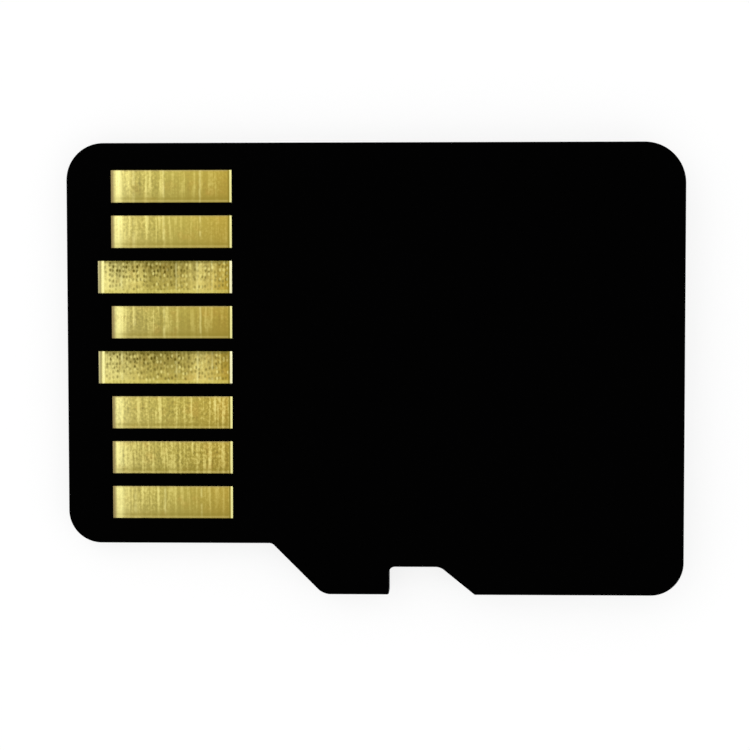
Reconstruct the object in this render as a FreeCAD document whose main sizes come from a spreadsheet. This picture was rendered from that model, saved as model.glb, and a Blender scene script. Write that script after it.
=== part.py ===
import FreeCAD, Part
import math
import os

import Sketcher

# Micro memory card, lying with its contact side up, in millimetres
#
# A thin laminate carries the gold contacts on its upper face and the chips on its lower face. Black moulding
# compound covers the chips and makes the label side, with a finger lip at the back end and a bevel at the
# insertion end.
#
# X runs along the card from its insertion end to its back end, Y across it towards the plain long side, and
# Z up. The origin is under the middle of the card, on the surface that the lip rests on.

# Contacts from the notched side to the plain one: a supply contact reaches further forward, to touch first
CONTACTS = ("signal", "signal", "signal", "supply", "signal", "supply", "signal", "signal")
MEMORY_DIE_COUNT = 4
MEMORY_WIRE_COLUMNS = 12
CONTROLLER_WIRES_PER_SIDE = 10
CAPACITOR_SIDES = (-1, 1)
CAPACITORS_PER_SIDE = 2

# Two places nearer than this are one place
CLOSE = 1e-6

SIZES = {
    # Outline, measured along the card from the insertion edge
    "card_length": 15.0,
    "shoulder_end": 6.23,
    "shoulder_step": 1.25,
    "shoulder_angle": 45.0,
    "notch_land": 1.61,
    "notch_depth": 0.68,
    "notch_floor": 1.25,
    "notch_angle": 39.0,
    "plain_front_corner_radius": 0.9,
    "plain_back_corner_radius": 1.0,
    "notched_corner_radius": 0.8,
    "shoulder_radius": 0.4,
    "notch_root_radius": 0.14,
    "notch_ramp_radius": 0.3,
    # Thickness, lip and bevel
    "body_thickness": 0.7,
    "board_thickness": 0.2,
    "lip_height": 0.3,
    "lip_length": 1.5,
    "lip_arc_radius": 30.0,
    "lip_draft": 25.0,
    "moulding_edge_radius": 0.08,
    "board_edge_radius": 0.03,
    "bevel_length": 0.52,
    "bevel_height": 0.3,
    # Contacts
    "contact_front_gap": 1.08,
    "contact_length": 2.95,
    "contact_width": 0.8,
    "contact_gap": 0.3,
    "contact_plain_margin": 0.65,
    "contact_notched_margin": 0.6,
    "supply_contact_extra": 0.33,
    "contact_thickness": 0.035,
    "contact_recess": 0.01,
    "contact_rim_width": 0.06,
    "contact_rim_drop": 0.015,
    # Chips and wires under the board
    "controller_front_gap": 1.0,
    "controller_length": 2.2,
    "controller_width": 3.2,
    "controller_thickness": 0.12,
    "wire_shelf": 1.4,
    "memory_side_margin": 0.75,
    "memory_back_margin": 0.6,
    "memory_die_thickness": 0.055,
    "memory_die_step": 0.28,
    "wire_thickness": 0.025,
    "wire_loop": 0.08,
    "wire_reach": 0.3,
    "bond_inset": 0.04,
    "stitch_inset": 0.07,
    "wire_end_margin": 0.3,
    "capacitor_length": 0.6,
    "capacitor_width": 0.3,
    "capacitor_height": 0.3,
    "capacitor_cap_length": 0.15,
    "capacitor_cap_wrap": 0.01,
    "capacitor_clearance": 0.7,
}

doc = FreeCAD.newDocument("memory_card")
sheet = doc.addObject("Spreadsheet::Sheet", "Sizes")
for row, (alias, value) in enumerate(SIZES.items(), start=1):
    sheet.set(f"A{row}", alias)
    sheet.set(f"B{row}", str(value))
    sheet.setAlias(f"B{row}", alias)
doc.recompute()

# Places that several pieces share, as formulas on the sheet
FRONT = "(-Sizes.card_length / 2)"
BACK = "(Sizes.card_length / 2)"
CONTACT_PITCH = "(Sizes.contact_width + Sizes.contact_gap)"
CONTACT_ROW = f"({len(CONTACTS) - 1} * {CONTACT_PITCH} + Sizes.contact_width)"
FRONT_WIDTH = f"({CONTACT_ROW} + Sizes.contact_plain_margin + Sizes.contact_notched_margin)"
CARD_WIDTH = f"({FRONT_WIDTH} + Sizes.shoulder_step)"
PLAIN_SIDE = f"({CARD_WIDTH} / 2)"
NOTCHED_SIDE = f"(-{CARD_WIDTH} / 2)"
FRONT_NOTCHED_SIDE = f"({NOTCHED_SIDE} + Sizes.shoulder_step)"
FRONT_MIDDLE = f"({PLAIN_SIDE} - {FRONT_WIDTH} / 2)"
LABEL_FACE = "Sizes.lip_height"
CONTACT_FACE = "(Sizes.lip_height + Sizes.body_thickness)"
CHIP_FACE = f"({CONTACT_FACE} - Sizes.board_thickness)"
CONTACT_FLOOR = f"({CONTACT_FACE} - Sizes.contact_recess - Sizes.contact_thickness)"
CONTROLLER_FRONT = f"({FRONT} + Sizes.controller_front_gap)"
CONTROLLER_BACK = f"({CONTROLLER_FRONT} + Sizes.controller_length)"
CONTROLLER_FACE = f"({CHIP_FACE} - Sizes.controller_thickness)"
MEMORY_FRONT = f"({CONTROLLER_BACK} + Sizes.wire_shelf)"
MEMORY_WIDTH = f"({FRONT_WIDTH} - 2 * Sizes.memory_side_margin)"
MEMORY_LENGTH = (
    f"({BACK} - Sizes.memory_back_margin - {MEMORY_FRONT}"
    f" - {MEMORY_DIE_COUNT - 1} * Sizes.memory_die_step)"
)


def number(formula):
    """The value that a formula has with the sheet's sizes."""
    return float(sheet.evalExpression(formula))


def new_body(label):
    """An empty body for one piece of the card."""
    body = doc.addObject("PartDesign::Body", label)
    body.Label = label
    return body


def new_sketch(body, name, plane, height=None):
    """A sketch on one of the body's origin planes, or a height above it."""
    sketch = body.newObject("Sketcher::SketchObject", name)
    support = next(f for f in body.Origin.OriginFeatures if f.Role == plane)
    sketch.AttachmentSupport = [(support, "")]
    sketch.MapMode = "FlatFace"
    if height:
        sketch.setExpression("AttachmentOffset.Base.z", height)
    return sketch


def hold(sketch, constraints):
    """Adds constraints, each with the formula that sets its size."""
    indices = sketch.addConstraint([constraint for constraint, _ in constraints])
    for index, (_, formula) in zip(indices, constraints):
        sketch.setExpression(f"Constraints[{index}]", formula)


def place_of(line, x, y):
    """The constraints that hold the start of a line at a place given by two formulas."""
    distances = (("DistanceX", x), ("DistanceY", y))
    return [(Sketcher.Constraint(kind, -1, 1, line, 1, number(size)), size) for kind, size in distances]


def draw_outline(sketch, corners):
    """A closed outline of straight edges through corners that are pairs of formulas."""
    points = [FreeCAD.Vector(number(x), number(y), 0) for x, y in corners]
    first = sketch.GeometryCount
    lines = [first + index for index in range(len(corners))]
    sketch.addGeometry([Part.LineSegment(*ends) for ends in zip(points, points[1:] + points[:1])], False)
    neighbours = zip(lines, lines[1:] + lines[:1])
    joints = [Sketcher.Constraint("Coincident", line, 2, after, 1) for line, after in neighbours]
    sketch.addConstraint(joints)
    hold(sketch, [held for line, corner in zip(lines, corners) for held in place_of(line, *corner)])


def draw_rectangle(sketch, low_x, low_y, high_x, high_y):
    """A rectangle from its lowest to its highest corner."""
    draw_outline(sketch, [(low_x, low_y), (high_x, low_y), (high_x, high_y), (low_x, high_y)])


def extrude(body, kind, sketch, length, **settings):
    """A Pad or a Pocket of a sketch, as long as a formula says."""
    feature = body.newObject(f"PartDesign::{kind}", f"{sketch.Name}_{kind.lower()}")
    feature.Profile = sketch
    feature.setExpression("Length", length)
    for name, setting in settings.items():
        setattr(feature, name, setting)
    doc.recompute()
    return feature


def round_edges(body, name, wanted, radius):
    """Rounds the edges of the body's last feature that a test picks."""
    base = body.Tip
    edges = [f"Edge{i}" for i, edge in enumerate(base.Shape.Edges, start=1) if wanted(edge)]
    fillet = body.newObject("PartDesign::Fillet", name)
    fillet.Base = (base, edges)
    fillet.setExpression("Radius", radius)
    doc.recompute()
    return fillet


def upright_at(corners):
    """A test for upright edges that stand on one of the corners."""
    places = [(number(x), number(y)) for x, y in corners]

    def wanted(edge):
        start, end = edge.Vertexes[0].Point, edge.Vertexes[-1].Point
        if (start - end).cross(FreeCAD.Vector(0, 0, 1)).Length > CLOSE:
            return False
        return any(abs(start.x - x) < CLOSE and abs(start.y - y) < CLOSE for x, y in places)

    return wanted


def card_blank(body, low, thickness):
    """The card's outline as a plate, with its rounded corners, shoulder and latch notch."""
    shoulder_run = "(Sizes.shoulder_step / tan(Sizes.shoulder_angle * 1deg))"
    notch_run = "(Sizes.notch_depth / tan(Sizes.notch_angle * 1deg))"
    shoulder_end = f"({FRONT} + Sizes.shoulder_end)"
    notch_wall = f"({shoulder_end} + Sizes.notch_land)"
    notch_top = f"({NOTCHED_SIDE} + Sizes.notch_depth)"
    notch_floor_end = f"({notch_wall} + Sizes.notch_floor)"
    plain_back = (BACK, PLAIN_SIDE)
    plain_front = (FRONT, PLAIN_SIDE)
    notched_front = (FRONT, FRONT_NOTCHED_SIDE)
    shoulder = [(f"({shoulder_end} - {shoulder_run})", FRONT_NOTCHED_SIDE), (shoulder_end, NOTCHED_SIDE)]
    notch_mouth = (notch_wall, NOTCHED_SIDE)
    notch_root = (notch_wall, notch_top)
    notch_ramp = (notch_floor_end, notch_top)
    notch_end = (f"({notch_floor_end} + {notch_run})", NOTCHED_SIDE)
    notched_back = (BACK, NOTCHED_SIDE)

    sketch = new_sketch(body, f"{body.Name}_outline", "XY_Plane", low)
    notch = [notch_mouth, notch_root, notch_ramp, notch_end]
    draw_outline(sketch, [plain_back, plain_front, notched_front, *shoulder, *notch, notched_back])
    extrude(body, "Pad", sketch, thickness)
    for name, corners in {
        "plain_front_corner": [plain_front],
        "plain_back_corner": [plain_back],
        "notched_corner": [notched_front, notched_back],
        "shoulder": shoulder,
        "notch_root": [notch_root],
        "notch_ramp": [notch_ramp],
    }.items():
        round_edges(body, f"{body.Name}_{name}", upright_at(corners), f"Sizes.{name}_radius")


def contact_place(index):
    """The lowest and highest corners of a contact in plan, as formulas."""
    extra = " - Sizes.supply_contact_extra" if CONTACTS[index - 1] == "supply" else ""
    front = f"({FRONT} + Sizes.contact_front_gap{extra})"
    back = f"({FRONT} + Sizes.contact_front_gap + Sizes.contact_length)"
    low = f"({FRONT_NOTCHED_SIDE} + Sizes.contact_notched_margin + {index - 1} * {CONTACT_PITCH})"
    return front, low, back, f"({low} + Sizes.contact_width)"


def circuit_board():
    """The laminate, with a shallow opening in its mask for each contact."""
    body = new_body("circuit_board")
    card_blank(body, CHIP_FACE, "Sizes.board_thickness")
    top = number(CONTACT_FACE)
    round_edges(
        body,
        "board_rim",
        lambda edge: all(abs(v.Z - top) < CLOSE for v in edge.Vertexes),
        "Sizes.board_edge_radius",
    )
    openings = new_sketch(body, "mask_openings", "XY_Plane", CONTACT_FACE)
    for index in range(1, len(CONTACTS) + 1):
        draw_rectangle(openings, *contact_place(index))
    extrude(body, "Pocket", openings, f"{CONTACT_FACE} - {CONTACT_FLOOR}")
    return body


def contact(index):
    """A gold contact pad with a rolled-off rim, set in its opening."""
    body = new_body(f"contact_{index}")
    sketch = new_sketch(body, f"contact_{index}_plan", "XY_Plane", CONTACT_FLOOR)
    draw_rectangle(sketch, *contact_place(index))
    extrude(body, "Pad", sketch, "Sizes.contact_thickness")
    top = number(f"{CONTACT_FLOOR} + Sizes.contact_thickness")
    pad = body.Tip
    face = next(i for i, f in enumerate(pad.Shape.Faces, start=1) if abs(f.BoundBox.ZMin - top) < CLOSE)
    rim = body.newObject("PartDesign::Chamfer", f"contact_{index}_rim")
    rim.Base = (pad, [f"Face{face}"])
    rim.ChamferType = "Two distances"
    rim.FlipDirection = True
    rim.setExpression("Size", "Sizes.contact_rim_width")
    rim.setExpression("Size2", "Sizes.contact_rim_drop")
    doc.recompute()
    return body


def lip_relief(body):
    """Cuts the label face down from the lip, whose inner wall is a shallow arc across the card."""
    sketch = new_sketch(body, "lip_relief", "XY_Plane")
    centre = f"({BACK} - Sizes.lip_length - Sizes.lip_arc_radius)"
    far = "(-Sizes.card_length)"
    reach, radius = number(CARD_WIDTH), number("Sizes.lip_arc_radius")
    turn = math.asin(reach / radius)
    circle = Part.Circle(FreeCAD.Vector(number(centre), 0, 0), FreeCAD.Vector(0, 0, 1), radius)
    arc = Part.ArcOfCircle(circle, -turn, turn)
    far_high = FreeCAD.Vector(number(far), reach, 0)
    far_low = FreeCAD.Vector(number(far), -reach, 0)
    corners = [arc.EndPoint, far_high, far_low, arc.StartPoint]
    lines = [Part.LineSegment(*ends) for ends in zip(corners, corners[1:])]
    sketch.addGeometry([*lines, arc], False)
    sketch.addConstraint(
        [
            Sketcher.Constraint("Coincident", 0, 2, 1, 1),
            Sketcher.Constraint("Coincident", 1, 2, 2, 1),
            Sketcher.Constraint("Coincident", 2, 2, 3, 1),
            Sketcher.Constraint("Coincident", 3, 2, 0, 1),
            Sketcher.Constraint("Horizontal", 0),
            Sketcher.Constraint("Horizontal", 2),
            Sketcher.Constraint("PointOnObject", 3, 3, -1),
        ]
    )
    sized = [
        (Sketcher.Constraint("DistanceX", -1, 1, 3, 3, number(centre)), centre),
        (Sketcher.Constraint("Radius", 3, radius), "Sizes.lip_arc_radius"),
    ]
    hold(sketch, [*sized, *place_of(1, far, CARD_WIDTH), *place_of(2, far, f"-{CARD_WIDTH}")])
    relief = extrude(body, "Pocket", sketch, "Sizes.lip_height", Reversed=True)
    relief.setExpression("TaperAngle", "-Sizes.lip_draft")
    doc.recompute()


def is_moulding_edge(edge):
    """Whether an edge of the label side is rounded: all are but the crest of the lip's curved wall."""
    heights = [vertex.Z for vertex in edge.Vertexes]
    on_lip = max(heights) < CLOSE
    inner = max(vertex.X for vertex in edge.Vertexes) < number(f"{BACK} - Sizes.lip_length")
    return max(heights) < number(CHIP_FACE) - CLOSE and not (on_lip and inner)


def moulding_blank():
    """The moulding before the chips are set in it."""
    body = new_body("moulding_blank")
    card_blank(body, None, CHIP_FACE)
    lip_relief(body)
    bevel = new_sketch(body, "insertion_bevel", "XZ_Plane")
    bevel_end = (f"({FRONT} + Sizes.bevel_length)", LABEL_FACE)
    bevel_start = (FRONT, f"({LABEL_FACE} + Sizes.bevel_height)")
    draw_outline(bevel, [(FRONT, LABEL_FACE), bevel_end, bevel_start])
    extrude(body, "Pocket", bevel, f"2 * {CARD_WIDTH}", Midplane=True)
    round_edges(body, "moulding_edges", is_moulding_edge, "Sizes.moulding_edge_radius")
    return body


def block(label, low, size):
    """A rectangular piece from its lowest corner and its size, as formulas."""
    box = doc.addObject("Part::Box", label)
    box.Label = label
    for name, formula in zip("xyz", low):
        box.setExpression(f"Placement.Base.{name}", formula)
    for name, formula in zip(("Length", "Width", "Height"), size):
        box.setExpression(name, formula)
    return box


def memory_edge(index):
    """The front edge of a memory die: each one is set back a step from the one before."""
    return f"({MEMORY_FRONT} + {index - 1} * Sizes.memory_die_step)"


def memory_face(index):
    """The outer face of a memory die, counted from the board."""
    return f"({CHIP_FACE} - {index} * Sizes.memory_die_thickness)"


def memory_die(index):
    """A memory chip, counted from the board."""
    low = (memory_edge(index), f"({FRONT_MIDDLE} - {MEMORY_WIDTH} / 2)", memory_face(index))
    return block(f"memory_die_{index}", low, (MEMORY_LENGTH, MEMORY_WIDTH, "Sizes.memory_die_thickness"))


def controller_die():
    """The controller chip, in front of the memory and under the contacts."""
    low = (CONTROLLER_FRONT, f"({FRONT_MIDDLE} - Sizes.controller_width / 2)", CONTROLLER_FACE)
    size = ("Sizes.controller_length", "Sizes.controller_width", "Sizes.controller_thickness")
    return block("controller_die", low, size)


def capacitor(number_in_row, side, rank):
    """A chip capacitor: a ceramic block with a metal cap wrapped round each end."""
    label = f"capacitor_{number_in_row}"
    pitch = "(Sizes.capacitor_width + Sizes.capacitor_clearance)"
    offset = f"(Sizes.controller_width / 2 + {pitch} * {rank} - Sizes.capacitor_width / 2)"
    middle_x = f"({CONTROLLER_FRONT} + Sizes.controller_length / 2)"
    middle_y = f"({FRONT_MIDDLE} + {side} * {offset})"
    wrap = "Sizes.capacitor_cap_wrap"
    front = f"({middle_x} - Sizes.capacitor_length / 2)"
    low_y = f"({middle_y} - Sizes.capacitor_width / 2)"
    ceramic = block(
        f"{label}_ceramic",
        (front, f"({low_y} + {wrap})", f"({CHIP_FACE} - Sizes.capacitor_height + {wrap})"),
        (
            "Sizes.capacitor_length",
            f"Sizes.capacitor_width - 2 * {wrap}",
            f"Sizes.capacitor_height - 2 * {wrap}",
        ),
    )
    caps = [
        block(
            f"{label}_{end}_cap",
            (start, low_y, f"({CHIP_FACE} - Sizes.capacitor_height)"),
            ("Sizes.capacitor_cap_length", "Sizes.capacitor_width", "Sizes.capacitor_height"),
        )
        for end, start in (
            ("front", front),
            ("back", f"({middle_x} + Sizes.capacitor_length / 2 - Sizes.capacitor_cap_length)"),
        )
    ]
    whole = doc.addObject("Part::MultiFuse", label)
    whole.Label = label
    whole.Shapes = [ceramic, *caps]
    return whole


def draw_wire(sketch, bond_x, bond_z, stitch_x, stitch_z, way):
    """A bond wire's side view: up from its bond on a chip, over a loop and down to its stitch.

    The chips hang under the board, so up is towards -Z. way is -1 for a wire that runs towards the insertion
    end and 1 for one that runs towards the back end.
    """
    half = "Sizes.wire_thickness / 2"
    peak = f"({bond_z} - Sizes.wire_loop)"
    run = f"(abs({bond_x} - {stitch_x}) + {half})"
    rise = f"({stitch_z} - {peak})"
    outer_x = f"({bond_x} - {way} * {half})"
    inner_x = f"({bond_x} + {way} * {half})"
    inner_z = f"({peak} + Sizes.wire_thickness * (1 + {rise} / {run}))"
    foot_x = f"({stitch_x} - {way} * Sizes.wire_thickness * {run} / {rise})"
    draw_outline(
        sketch,
        [
            (outer_x, bond_z),
            (outer_x, peak),
            (stitch_x, stitch_z),
            (foot_x, stitch_z),
            (inner_x, inner_z),
            (inner_x, bond_z),
        ],
    )


def wire_row(body, sketch, width, count):
    """Repeats the wires of a sketch, which lies on the row's first place, across a chip."""
    first = extrude(body, "Pad", sketch, "Sizes.wire_thickness", Midplane=True)
    row = body.newObject("PartDesign::LinearPattern", f"{body.Name}_row")
    row.Originals = [first]
    row.Direction = (sketch, ["N_Axis"])
    row.Occurrences = count
    row.setExpression("Length", f"{width} - 2 * Sizes.wire_end_margin")
    body.Tip = row
    doc.recompute()


def wire_body(label, width):
    """A body for a row of wires and its sketch, which stands at the row's plain-side end."""
    body = new_body(label)
    body.AllowCompound = True
    end = f"({FRONT_MIDDLE} + {width} / 2 - Sizes.wire_end_margin)"
    sketch = new_sketch(body, f"{label}_side_view", "XZ_Plane", f"-{end}")
    return body, sketch


def memory_bond_wires():
    """Wires that step down the staircase of memory dies to the board."""
    body, sketch = wire_body("memory_bond_wires", MEMORY_WIDTH)
    stitch = (f"({MEMORY_FRONT} - Sizes.wire_reach)", CHIP_FACE)
    for index in range(1, MEMORY_DIE_COUNT + 1):
        bond_x = f"({memory_edge(index)} + Sizes.bond_inset)"
        draw_wire(sketch, bond_x, memory_face(index), *stitch, -1)
        stitch = (f"({memory_edge(index)} + Sizes.bond_inset + Sizes.stitch_inset)", memory_face(index))
    wire_row(body, sketch, MEMORY_WIDTH, MEMORY_WIRE_COLUMNS)
    return body


def controller_bond_wires():
    """Wires from two sides of the controller to the board."""
    body, sketch = wire_body("controller_bond_wires", "Sizes.controller_width")
    for edge, way in ((CONTROLLER_FRONT, -1), (CONTROLLER_BACK, 1)):
        bond_x = f"({edge} - {way} * Sizes.bond_inset)"
        stitch_x = f"({edge} + {way} * Sizes.wire_reach)"
        draw_wire(sketch, bond_x, CONTROLLER_FACE, stitch_x, CHIP_FACE, way)
    wire_row(body, sketch, "Sizes.controller_width", CONTROLLER_WIRES_PER_SIDE)
    return body


def moulded_body(blank, buried):
    """The moulding compound, which fills all the room round the chips, capacitors and wires."""
    body = blank
    for piece in buried:
        rest = doc.addObject("Part::Cut", f"moulding_round_{piece.Name}")
        rest.Base = body
        rest.Tool = piece
        body = rest
    body.Label = "moulded_body"
    return body


def build():
    """All the pieces of the card, in the order in which they are written."""
    board = circuit_board()
    contacts = [contact(index) for index in range(1, len(CONTACTS) + 1)]
    dies = [memory_die(index) for index in range(1, MEMORY_DIE_COUNT + 1)]
    ranks = [(side, rank) for side in CAPACITOR_SIDES for rank in range(1, CAPACITORS_PER_SIDE + 1)]
    capacitors = [capacitor(index, *place) for index, place in enumerate(ranks, start=1)]
    buried = [*dies, controller_die(), *capacitors, memory_bond_wires(), controller_bond_wires()]
    body = moulded_body(moulding_blank(), buried)
    doc.recompute()
    return [board, *contacts, body, *buried]


def check(pieces):
    """Stops the build if any object failed or any piece isn't a sound solid."""
    failed = [o.Name for o in doc.Objects if {"Invalid", "Error"} & set(o.State)]
    unsound = [p.Label for p in pieces if p.Shape.isNull() or not p.Shape.isValid() or not p.Shape.Solids]
    if failed or unsound:
        raise RuntimeError(f"failed objects {failed}, unsound pieces {unsound}")


subparts = build()
check(subparts)
os.makedirs("parts", exist_ok=True)
for piece in subparts:
    piece.Shape.exportStep(f"parts/{piece.Label}.step")
    print(f"{piece.Label}: {len(piece.Shape.Solids)} solids, {piece.Shape.Volume:.4f} mm3")
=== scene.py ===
"""Looks of the micro memory card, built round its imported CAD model.

The card lies with its contact side up: X runs from the insertion end to the lip end, Y towards the
plain long side and Z out of the contact side. Pieces are modelled in millimetres and brought to
metres when they are finished.
"""

import logging
import math
from collections.abc import Callable, Iterator
from contextlib import contextmanager
from dataclasses import dataclass, field
from enum import Enum
from typing import ClassVar

import bmesh
import bpy
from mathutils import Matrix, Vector

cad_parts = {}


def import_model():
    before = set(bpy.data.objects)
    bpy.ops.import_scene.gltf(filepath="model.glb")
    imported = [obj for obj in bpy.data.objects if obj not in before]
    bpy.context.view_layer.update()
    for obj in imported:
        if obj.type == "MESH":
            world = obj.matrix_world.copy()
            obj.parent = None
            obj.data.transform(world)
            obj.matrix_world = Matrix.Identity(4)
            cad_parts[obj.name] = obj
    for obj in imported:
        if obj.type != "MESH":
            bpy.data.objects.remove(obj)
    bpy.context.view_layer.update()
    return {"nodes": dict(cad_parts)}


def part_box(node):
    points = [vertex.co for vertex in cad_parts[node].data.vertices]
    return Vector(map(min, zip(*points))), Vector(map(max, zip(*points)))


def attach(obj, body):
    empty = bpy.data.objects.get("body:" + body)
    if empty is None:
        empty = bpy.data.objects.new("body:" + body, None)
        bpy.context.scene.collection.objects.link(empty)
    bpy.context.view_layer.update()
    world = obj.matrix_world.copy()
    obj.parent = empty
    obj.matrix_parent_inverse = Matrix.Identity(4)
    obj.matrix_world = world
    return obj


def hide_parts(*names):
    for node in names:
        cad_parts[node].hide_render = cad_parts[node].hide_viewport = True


LOG = logging.getLogger("memory_card")
ROOT = "root"

Colour = tuple[float, float, float]
Place = tuple[float, float, float]

# A millimetre in the scene's metres, and what counts as the same place, in millimetres.
MM = 0.001
NEAR = 1e-3

# From which angle an edge is sharp enough to be rounded, up to which one it is shaded smooth, and how
# much large faces outweigh small ones in the shading, from 1 to 100.
SHARP_ANGLE = math.radians(25)
SMOOTH_ANGLE = math.radians(32)
LARGE_FACE_WEIGHT = 100

# The sRGB curve, from screen colours of 0 to 255 to linear ones.
SCREEN_WHITE = 255
CURVE_FOOT = 0.04045
CURVE_FOOT_SLOPE = 12.92
CURVE_LIFT = 0.055
CURVE_POWER = 2.4

# The middle of a noise's range from 0 to 1.
NOISE_MIDDLE = 0.5

# Plain white as the scene has it, and screen colours of gold that several stripes share,
# each of them painted shade or painted highlight.
WHITE: Colour = (1.0, 1.0, 1.0)
# Painted shade, for shadow lines and shaded sides of the contacts.
SHADED_GOLD: Colour = (140, 125, 46)
# Painted shade on the contacts' front rims.
SHADOWED_RIM_GOLD: Colour = (146, 131, 84)
# Painted highlight, for the light brush streaks and the highlight lines across the contacts.
HIGHLIGHT_GOLD: Colour = (238, 228, 146)
# Painted highlight, for the pale lines on the supply contacts.
PALE_GOLD: Colour = (242, 235, 158)
# Painted highlight on the contacts' rolled rims.
EDGE_GOLD: Colour = (240, 236, 188)


class Slot(Enum):
    """The material slots for the pieces that are modelled here."""

    MOULDING = "moulding_compound"
    MASK = "board_mask"
    CONTACT = "contact_gold"


class ContactKind(Enum):
    """The kinds of contact: short ones, worn at the front or brushed all along, and long ones."""

    SIGNAL = "signal"
    BRUSHED = "brushed"
    SUPPLY = "supply"


class Part(Enum):
    """The kinds of mesh part that can be selected."""

    VERTEX = "VERT"
    EDGE = "EDGE"
    FACE = "FACE"


def linear_part(value: float) -> float:
    """Turns one part of a screen colour into a linear one, by the sRGB curve.

    Args:
        value: The part, from 0 to 255.

    Returns:
        The linear part, from 0 to 1.
    """
    share = value / SCREEN_WHITE
    if share <= CURVE_FOOT:
        return share / CURVE_FOOT_SLOPE
    return ((share + CURVE_LIFT) / (1 + CURVE_LIFT)) ** CURVE_POWER


def linear(red: float, green: float, blue: float) -> Colour:
    """Turns a screen colour into the scene's linear one.

    Args:
        red: Red from 0 to 255.
        green: Green from 0 to 255.
        blue: Blue from 0 to 255.

    Returns:
        The linear colour, each part from 0 to 1.
    """
    return linear_part(red), linear_part(green), linear_part(blue)


def frame_box(node: str) -> tuple[Vector, Vector]:
    """Reads a CAD node's box.

    Args:
        node: The node's name.

    Returns:
        Its lowest and highest corners, in millimetres.
    """
    low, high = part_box(node)
    return low / MM, high / MM


def select_only(piece: bpy.types.Object) -> None:
    """Makes one object the only selected one, and the active one.

    Args:
        piece: The object to select.
    """
    bpy.ops.object.select_all(action="DESELECT")
    piece.select_set(True)
    bpy.context.view_layer.objects.active = piece


@contextmanager
def editing(piece: bpy.types.Object) -> Iterator[None]:
    """Opens an object in edit mode for the length of a with block.

    Args:
        piece: The mesh object to edit.

    Yields:
        Nothing.
    """
    select_only(piece)
    bpy.ops.object.mode_set(mode="EDIT")
    yield
    bpy.ops.object.mode_set(mode="OBJECT")


def pick(piece: bpy.types.Object, part: Part, wanted: Callable[..., bool]) -> None:
    """Selects the parts of the mesh being edited that pass a test, and nothing else.

    Args:
        piece: The object in edit mode.
        part: The kind of part that is tested.
        wanted: Says of one vertex, edge or face whether it is selected.
    """
    bpy.ops.mesh.select_mode(type=part.value)
    bpy.ops.mesh.select_all(action="DESELECT")
    mesh = bmesh.from_edit_mesh(piece.data)
    members = {Part.VERTEX: mesh.verts, Part.EDGE: mesh.edges, Part.FACE: mesh.faces}[part]
    for member in members:
        if wanted(member):
            member.select_set(True)
    mesh.select_flush_mode()
    bmesh.update_edit_mesh(piece.data)


def extrude(offset: Place) -> None:
    """Extrudes the selection.

    Args:
        offset: How far the new part moves, in millimetres.
    """
    bpy.ops.mesh.extrude_region_move(TRANSFORM_OT_translate={"value": offset})


def draw_polygon(name: str, points: list[tuple[float, float]], height: float) -> bpy.types.Object:
    """Draws a flat face by extruding one vertex from corner to corner.

    Args:
        name: The new object's name.
        points: The corners in plan, in order.
        height: The face's height.

    Returns:
        The new mesh object, with one face.
    """
    bpy.ops.object.select_all(action="DESELECT")
    bpy.ops.mesh.primitive_plane_add(size=1.0, location=(0.0, 0.0, 0.0))
    piece = bpy.context.active_object
    piece.name = name
    with editing(piece):
        bpy.ops.mesh.select_mode(type=Part.VERTEX.value)
        bpy.ops.mesh.select_all(action="SELECT")
        bpy.ops.mesh.merge(type="CENTER")
        bpy.ops.transform.translate(value=(*points[0], height))
        for start, end in zip(points, points[1:]):
            extrude((end[0] - start[0], end[1] - start[1], 0.0))
        bpy.ops.mesh.select_all(action="SELECT")
        bpy.ops.mesh.edge_face_add()
    return piece


def thicken(piece: bpy.types.Object, height: float) -> None:
    """Turns a flat face into a solid by extruding it upwards.

    Args:
        piece: The object that holds the face.
        height: The solid's thickness.
    """
    with editing(piece):
        bpy.ops.mesh.select_all(action="SELECT")
        extrude((0.0, 0.0, height))
        bpy.ops.mesh.select_all(action="SELECT")
        bpy.ops.mesh.normals_make_consistent(inside=False)


def carve(piece: bpy.types.Object, cutter: bpy.types.Object) -> None:
    """Takes one solid out of another, and removes the first.

    Args:
        piece: The solid that is cut.
        cutter: The solid that cuts it.
    """
    select_only(piece)
    cut = piece.modifiers.new("carve", "BOOLEAN")
    cut.operation = "DIFFERENCE"
    cut.solver = "EXACT"
    cut.object = cutter
    bpy.ops.object.modifier_apply(modifier=cut.name)
    bpy.data.objects.remove(cutter)


def round_edges(
    piece: bpy.types.Object,
    wanted: Callable[[bmesh.types.BMEdge], bool],
    width: float,
    segments: int,
) -> None:
    """Rounds the edges that pass a test.

    Args:
        piece: The object to round.
        wanted: Says of an edge whether it is rounded.
        width: The rounding's width.
        segments: The number of facets across the rounding.
    """
    with editing(piece):
        pick(piece, Part.EDGE, wanted)
        bpy.ops.mesh.bevel(offset=width, segments=segments, affect="EDGES", clamp_overlap=True)


def is_sharp(edge: bmesh.types.BMEdge) -> bool:
    """Says whether the two faces of an edge meet at a sharp angle.

    Args:
        edge: An edge of the mesh being edited.

    Returns:
        True if it is a sharp edge between two faces.
    """
    return edge.is_manifold and edge.calc_face_angle(0.0) > SHARP_ANGLE


def heights(edge: bmesh.types.BMEdge) -> tuple[float, float]:
    """Finds how high an edge lies.

    Args:
        edge: An edge of the mesh being edited.

    Returns:
        The heights of its lower and upper ends.
    """
    first, second = (vertex.co.z for vertex in edge.verts)
    return min(first, second), max(first, second)


def duplicate(piece: bpy.types.Object, name: str, offset: Place) -> bpy.types.Object:
    """Copies a piece, with a mesh of its own, to another place.

    Args:
        piece: The piece to copy.
        name: The copy's name.
        offset: How far the copy is moved, in millimetres.

    Returns:
        The copy.
    """
    select_only(piece)
    bpy.ops.object.duplicate(linked=False)
    copy = bpy.context.active_object
    copy.name = name
    bpy.ops.transform.translate(value=offset)
    bpy.ops.object.transform_apply(location=True, rotation=True, scale=True)
    return copy


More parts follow.
